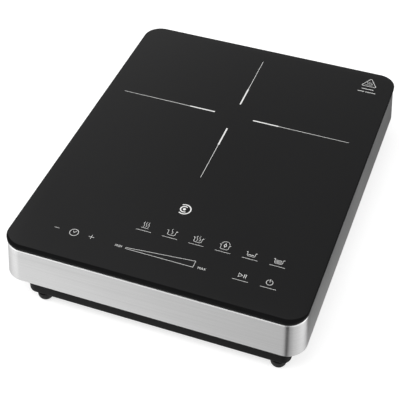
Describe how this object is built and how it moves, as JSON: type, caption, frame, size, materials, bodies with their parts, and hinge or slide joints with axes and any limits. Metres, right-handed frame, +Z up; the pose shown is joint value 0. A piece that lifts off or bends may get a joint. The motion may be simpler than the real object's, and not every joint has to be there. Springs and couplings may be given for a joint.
{
  "type": "portable induction cooktop",
  "caption": "Portable induction cooktop: black glass plate, brushed steel housing and black moulded base on rubber feet, with a coil, fan and power electronics inside.",
  "frame": {"origin": "on the surface the feet stand on, below the centre of the glass plate", "axes": "+Z up, -Y towards the person who cooks (the touch controls are at the -Y end), +X to that person's right"},
  "size_m": [0.294, 0.376, 0.0693],
  "materials": {
    "glass": "polished black glass-ceramic",
    "silicone": "matte silicone",
    "steel": "fine horizontal brushing",
    "black_plastic": "fine moulded texture",
    "fan_plastic": "smooth moulded",
    "rubber": "matte",
    "zinc": "zinc plated",
    "mica": "pressed mica",
    "phenolic": "moulded resin",
    "copper": "enamelled copper",
    "ferrite": "sintered",
    "aluminium": "mill finish",
    "nylon": "moulded",
    "circuit_board": "solder resist",
    "epoxy": "moulded epoxy",
    "film_box": "moulded case",
    "yellow_tape": "polyester tape",
    "lead_black": "insulated wire",
    "lead_white": "insulated wire"
  },
  "bodies": {
    "chassis": {"glass_top": "glass", "glass_seal": "silicone", "steel_housing": "steel", "top_frame": "black_plastic", "base_tray": "black_plastic", "foot_front_left": "rubber", "foot_front_right": "rubber", "foot_rear_left": "rubber", "foot_rear_right": "rubber", "housing_screw_front_left": "zinc", "housing_screw_front_right": "zinc", "housing_screw_middle_left": "zinc", "housing_screw_middle_right": "zinc", "housing_screw_rear_left": "zinc", "housing_screw_rear_right": "zinc", "cable_gland": "rubber", "insulation_sheet": "mica", "coil_former": "phenolic", "coil_winding": "copper", "ferrite_bar_1": "ferrite", "ferrite_bar_2": "ferrite", "ferrite_bar_3": "ferrite", "ferrite_bar_4": "ferrite", "ferrite_bar_5": "ferrite", "ferrite_bar_6": "ferrite", "ferrite_bar_7": "ferrite", "ferrite_bar_8": "ferrite", "coil_plate": "aluminium", "coil_post_rear_right": "nylon", "coil_post_rear_left": "nylon", "coil_post_front_left": "nylon", "coil_post_front_right": "nylon", "sensor_holder": "nylon", "sensor_spring": "zinc", "fan_frame": "fan_plastic", "fan_stator": "copper", "main_board": "circuit_board", "heat_sink": "aluminium", "igbt": "epoxy", "bridge_rectifier": "epoxy", "resonance_capacitor": "film_box", "smoothing_capacitor": "film_box", "suppression_capacitor": "yellow_tape", "choke_coil": "copper", "transformer": "yellow_tape", "electrolytic_capacitor": "epoxy", "fuse": "nylon", "mains_terminal": "nylon", "buzzer": "epoxy", "control_board": "circuit_board", "display_module": "epoxy", "control_bracket": "black_plastic", "coil_lead_inner": "lead_black", "coil_lead_outer": "lead_white", "fan_lead": "lead_black", "sensor_lead": "lead_white", "ribbon_cable": "lead_white"},
    "fan_rotor": {"fan_impeller": "fan_plastic", "fan_shaft": "zinc"},
    "sensor_probe": {"sensor_cap": "aluminium"}
  },
  "joints": [
    {"name": "fan_spin", "type": "hinge", "parent": "chassis", "child": "fan_rotor", "pos_m": [-0.0018, 0.082, 0.0226], "axis": [0, 0, 1], "continuous": true},
    {"name": "sensor_press", "type": "slide", "parent": "chassis", "child": "sensor_probe", "axis": [0, 0, 1], "range_m": [-0.0015, 0], "stiffness_N_per_m": 400, "springref_m": 0.003, "deforming": ["sensor_spring"]}
  ]
}
